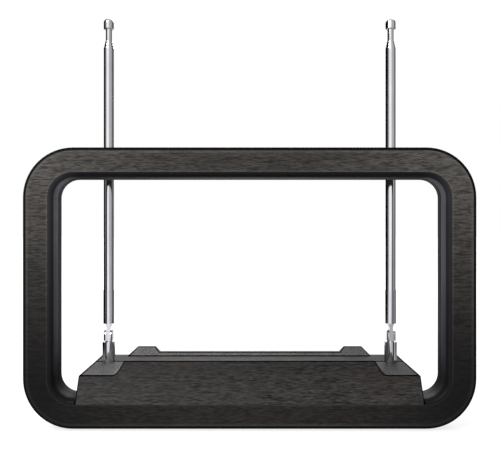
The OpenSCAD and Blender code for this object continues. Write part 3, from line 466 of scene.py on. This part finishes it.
def front_face(face):
    """The kind of a face of the front moulding."""
    corners = [v.co for v in face.verts]
    middle = face.calc_center_median()
    if all(abs(c.y - FRONT_Y) < NEAR for c in corners):
        return FILM_FACE
    if all(on_panel(c) for c in corners) and face.normal.y < -0.5:
        return PANEL_FACE
    near_split = abs(middle.y - SPLIT_Y) < GROOVE_W / 2 + GROOVE_SPARE
    if near_split and (middle.z > DECK_Z - GROOVE_REACH or abs(middle.x) > BASE_HALF - GROOVE_REACH):
        return DARK_FACE
    over_deck = DECK_Z - NEAR < middle.z < DECK_Z + CREST_REACH
    if over_deck and abs(middle.x) < BASE_HALF + NEAR and middle.y < SPLIT_Y:
        if middle.z > DECK_Z + NEAR and abs(face.normal.x) > 0.05:
            return END_FACE
        if face.normal.z > 0.3:
            return PAD_FACE
    deep = inset(middle)
    if middle.y < FRONT_Y + ROUND_R + NEAR and deep < ROUND_R + NEAR:
        return SIDE_EDGE
    clear_of_base = middle.z > DECK_Z + NEAR or abs(middle.x) > BASE_HALF + NEAR
    if deep > FACE_INSET and middle.y < FRONT_Y + SEAM_D and clear_of_base:
        return WALL_FACE if abs(face.normal.y) < 0.3 else BEVEL_FACE
    return PLAIN_FACE


def front_edge(edge):
    """How far an edge of the front moulding is rounded."""
    a, b = (v.co for v in edge.verts)
    middle = (a + b) / 2
    if on_panel(a) and on_panel(b):
        return CREST_ROUND if middle.z > PANEL_Z + CREST_FOOT else 0
    if on_side(a) and on_side(b):
        return WIDEST
    rim = all(abs(v.y - SPLIT_Y + GROOVE_W / 2) < NEAR and abs(v.z - DECK_Z) < NEAR for v in (a, b))
    return RIM_ROUND if rim else 0


# Its rounded edges take the painted-shade finish of the grooves
front = eased("front_moulding", "front_shell",
              (SATIN, FRAME_FILM, PANEL_FILM, FRAME_EDGE, PAD_GREY, EDGE_SHADE, FRAME_WALL, FRAME_BEVEL,
               CREST_END_HIGHLIGHT),
              front_face, front_edge, DARK_FACE)

REAR_PLAIN, REAR_DARK, REAR_DECK, REAR_SLOPE = range(4)


def rear_face(face):
    """The kind of a face of the base's rear moulding."""
    middle = face.calc_center_median()
    near_split = abs(middle.y - SPLIT_Y) < GROOVE_W / 2 + GROOVE_SPARE
    if near_split and middle.z > DECK_Z - GROOVE_REACH:
        return REAR_DARK
    sunk = DECK_Z - GROOVE_REACH < middle.z < DECK_Z - NEAR
    if sunk and RIDGE_Y - GROOVE_W - NEAR < middle.y < RIDGE_Y + NEAR:
        return REAR_DARK
    if face.normal.z > 0.2 and middle.z > DECK_Z + NEAR:
        return REAR_SLOPE
    if face.normal.z > 0.2 and middle.z > DECK_Z - NEAR:
        return REAR_DECK
    return REAR_PLAIN


def rear_edge(edge):
    """How far an edge of the base's rear moulding is rounded."""
    a, b = (v.co for v in edge.verts)
    if a.z > DECK_Z + NEAR or b.z > DECK_Z + NEAR:
        return RIM_ROUND
    if on_side(a) and on_side(b):
        return WIDEST
    level = abs(a.z - DECK_Z) < NEAR and abs(b.z - DECK_Z) < NEAR
    for rim_y in (SPLIT_Y + GROOVE_W / 2, RIDGE_Y - GROOVE_W, RIDGE_Y):
        if level and abs(a.y - rim_y) < NEAR and abs(b.y - rim_y) < NEAR:
            return RIM_ROUND
    return 0


# Its rounded edges take the painted-shade finish of the grooves
rear = eased("base_rear_moulding", "base_rear_shell", (SATIN, EDGE_SHADE, DECK_GREY, LUG_PAINTED_LIGHT),
             rear_face, rear_edge, REAR_DARK)

# Strips of the surround that polished metal mirrors: degrees from the front to the right, and
# brightness. The metal's rims mirror the two dark flags at the sides.
STRIPS = ((-180, 1.0), (-166, 1.0), (-156, 0.0), (-88, 0.0), (-70, 0.08), (-48, 0.55), (-32, 1.0),
          (4, 1.0), (18, 0.5), (68, 0.45), (92, 0.12), (150, 0.1), (164, 1.0), (180, 1.0))


def strips(t, x, y):
    """Brightness of the surround in a level direction."""
    turn = t.ramp(t.calc("ARCTAN2", x, t.calc("MULTIPLY", y, -1.0)), -math.pi, math.pi)
    made = t.node("ValToRGB")
    made.color_ramp.elements[0].position = 0.0
    made.color_ramp.elements[1].position = 1.0
    for place, (degrees, level) in enumerate(STRIPS):
        share = (degrees + 180) / 360
        if 0 < place < len(STRIPS) - 1:
            stop = made.color_ramp.elements.new(share)
        else:
            stop = made.color_ramp.elements[0 if place == 0 else -1]
        stop.color = (level, level, level, 1.0)
    t.feed(made.inputs[0], turn)
    return made.outputs[0]


def studio_floor():
    """White floor that keeps the object's shadow. Far away it glows plain white to the camera,
    and metal mirrors the strips of the surround in it."""
    made = bpy.data.materials.new("floor")
    made.use_nodes = True
    made.node_tree.nodes.clear()
    t = Tree(made.node_tree)
    path = t.node("LightPath")
    x, y, _ = t.split(t.node("TexCoord").outputs["Object"])
    far = t.calc("SQRT", t.calc("ADD", t.calc("MULTIPLY", x, x), t.calc("MULTIPLY", y, y)))
    diffuse = t.node("BsdfDiffuse")
    diffuse.inputs["Color"].default_value = (0.42, 0.42, 0.42, 1)
    glow = t.node("Emission")
    t.feed(glow.inputs["Strength"], t.ramp(far, 0.3, 1.0, 0.78, 1.0))
    seen = t.node("AddShader")
    t.feed(seen.inputs[0], diffuse.outputs[0])
    t.feed(seen.inputs[1], glow.outputs[0])
    mirrored = t.node("Emission")
    t.feed(mirrored.inputs["Strength"], strips(t, x, y))
    near = t.node("Emission")
    near.inputs["Strength"].default_value = 0.6
    glossy = t.join(t.ramp(far, 0.12, 0.3), near.outputs[0], mirrored.outputs[0])
    plain = t.join(path.outputs["Is Glossy Ray"], diffuse.outputs[0], glossy)
    out = t.node("OutputMaterial")
    t.feed(out.inputs["Surface"], t.join(path.outputs["Is Camera Ray"], plain, seen.outputs[0]))
    return made


def studio_surround():
    """White to the camera, soft light from all round, strips to polished metal."""
    made = bpy.data.worlds.new("studio")
    bpy.context.scene.world = made
    made.use_nodes = True
    made.node_tree.nodes.clear()
    t = Tree(made.node_tree)
    path = t.node("LightPath")
    x, y, z = t.split(t.node("TexCoord").outputs["Generated"])

    def background(strength):
        shader = t.node("Background")
        shader.inputs["Color"].default_value = (1, 1, 1, 1)
        t.feed(shader.inputs["Strength"], strength)
        return shader.outputs[0]

    above = t.ramp(z, 0.8, 0.95)
    level = t.calc("ADD", t.calc("MULTIPLY", strips(t, x, y), t.calc("SUBTRACT", 1.0, above)),
                   t.calc("MULTIPLY", above, 0.5))
    unseen = t.join(path.outputs["Is Glossy Ray"], background(0.42), background(level))
    out = t.node("OutputWorld")
    t.feed(out.inputs["Surface"], t.join(path.outputs["Is Camera Ray"], unseen, background(1.0)))


REACH = 6.0
floor_mesh = bpy.data.meshes.new("floor")
corners = [(-REACH, -REACH, 0), (REACH, -REACH, 0), (REACH, REACH, 0), (-REACH, REACH, 0)]
floor_mesh.from_pydata(corners, [], [(0, 1, 2, 3)])
floor_mesh.materials.append(studio_floor())
floor = bpy.data.objects.new("floor", floor_mesh)
bpy.context.scene.collection.objects.link(floor)
studio_surround()


def lamp(name, place, aim, size, power, mirrored=True):
    """A soft rectangular lamp. One that isn't mirrored lights the part without showing in metal."""
    data = bpy.data.lights.new(name, "AREA")
    data.shape = "RECTANGLE"
    data.size, data.size_y = size
    data.energy = power
    made = bpy.data.objects.new(name, data)
    made.location = place
    made.rotation_euler = (Vector(aim) - Vector(place)).to_track_quat("-Z", "Y").to_euler()
    made.visible_glossy = mirrored
    bpy.context.scene.collection.objects.link(made)


lamp("key", (-0.55, -0.75, 0.80), (0, 0, 0.08), (0.7, 0.5), 6.0)
lamp("top", (-0.42, 0.06, 0.50), (-0.03, 0, 0.03), (0.35, 0.35), 0.8, mirrored=False)
lamp("back", (0.2, 0.9, 0.8), (0, 0, 0.05), (0.8, 0.4), 4.0)

# Camera: level, in front of the frame
camera = bpy.data.objects.new("camera", bpy.data.cameras.new("camera"))
camera.data.lens = LENS_MM
camera.data.sensor_width = SENSOR_MM
camera.data.shift_y = 0.0006
camera.location = (CAMERA_X, FRONT_Y - CAMERA_BACK, CAMERA_Z)
camera.rotation_euler = (math.radians(90), 0, 0)
camera.data.clip_start = 0.01
camera.data.clip_end = 50.0
bpy.context.scene.collection.objects.link(camera)
bpy.context.scene.camera = camera
bpy.context.scene.view_settings.view_transform = "Standard"
